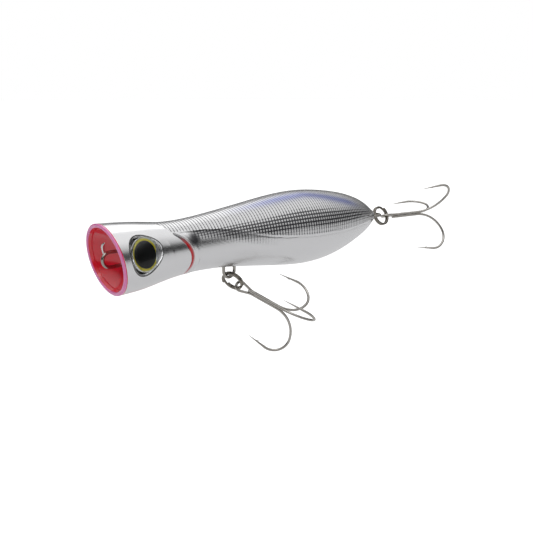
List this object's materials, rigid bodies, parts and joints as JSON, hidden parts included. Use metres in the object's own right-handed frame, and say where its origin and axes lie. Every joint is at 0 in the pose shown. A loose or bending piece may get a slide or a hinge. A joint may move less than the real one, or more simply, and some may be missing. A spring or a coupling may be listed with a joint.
{
  "type": "topwater popper lure",
  "caption": "Hollow fish-shaped surface lure with a scooped mouth, line eye in the cup, rattle inside, and treble hooks on split rings under the belly and at the tail.",
  "frame": {"origin": "centre of the nose line eye, where the line is tied", "axes": "+X runs from the mouth to the tail along the body, +Z is the lure's back, +Y is its right side and the direction through the line eye"},
  "size_m": [0.1584, 0.0397, 0.0554],
  "materials": {
    "shell": "satin chrome film under clear coat, fine scale relief",
    "cup": "translucent red over white, glossy",
    "wire": "bright drawn stainless wire",
    "iris": "printed foil, black pupil in a yellow and silver ring",
    "lens": "clear domed resin",
    "weight": "turned slug",
    "tube": "clear tube",
    "plug": "moulded plug",
    "ball": "polished ball bearing",
    "ring": "nickel plated spring wire",
    "hook": "tin plated hook wire",
    "braze": "plated silver braze"
  },
  "bodies": {
    "body": {"shell_left": "shell", "shell_right": "shell", "mouth_cup": "cup", "through_wire": "wire", "iris_left": "iris", "iris_right": "iris", "eye_lens_left": "lens", "eye_lens_right": "lens", "belly_weight": "weight", "tail_weight": "weight", "rattle_tube": "tube", "tube_plug_front": "plug", "tube_plug_rear": "plug"},
    "ball_rear": {"rattle_ball_rear": "ball"},
    "ball_middle": {"rattle_ball_middle": "ball"},
    "ball_front": {"rattle_ball_front": "ball"},
    "belly_ring": {"belly_split_ring": "ring"},
    "belly_treble": {"belly_double_hook": "hook", "belly_single_hook": "hook", "belly_hook_braze": "braze"},
    "tail_ring": {"tail_split_ring": "ring"},
    "tail_treble": {"tail_double_hook": "hook", "tail_single_hook": "hook", "tail_hook_braze": "braze"}
  },
  "joints": [
    {"name": "rattle_slide", "type": "slide", "parent": "body", "child": "ball_front", "axis": [-1, 0, 0], "range_m": [0, 0.0135]},
    {"name": "middle_ball_slide", "type": "slide", "parent": "body", "child": "ball_middle", "axis": [-1, 0, 0], "range_m": [0, 0.0135]},
    {"name": "rear_ball_slide", "type": "slide", "parent": "body", "child": "ball_rear", "axis": [-1, 0, 0], "range_m": [0, 0.0135]},
    {"name": "belly_ring_swing", "type": "hinge", "parent": "body", "child": "belly_ring", "pos_m": [0.0456, 0, -0.0129], "axis": [1, 0, 0], "range_deg": [-45, 50]},
    {"name": "belly_hook_swing", "type": "hinge", "parent": "belly_ring", "child": "belly_treble", "pos_m": [0.04876, -0.00267, -0.01627], "axis": [0.166, 0.6557, -0.7365], "range_deg": [-6, 75]},
    {"name": "tail_ring_swing", "type": "hinge", "parent": "body", "child": "tail_ring", "pos_m": [0.1217, 0, 0.0005], "axis": [0, 1, 0], "range_deg": [-40, 40]},
    {"name": "tail_hook_swing", "type": "hinge", "parent": "tail_ring", "child": "tail_treble", "pos_m": [0.12685, 0.00015, -0.00093], "axis": [0.1584, 0.4051, 0.9005], "range_deg": [-60, 75]}
  ],
  "couplings": [
    {"joint": "middle_ball_slide", "follows": "rattle_slide", "ratio": 1},
    {"joint": "rear_ball_slide", "follows": "rattle_slide", "ratio": 1}
  ]
}
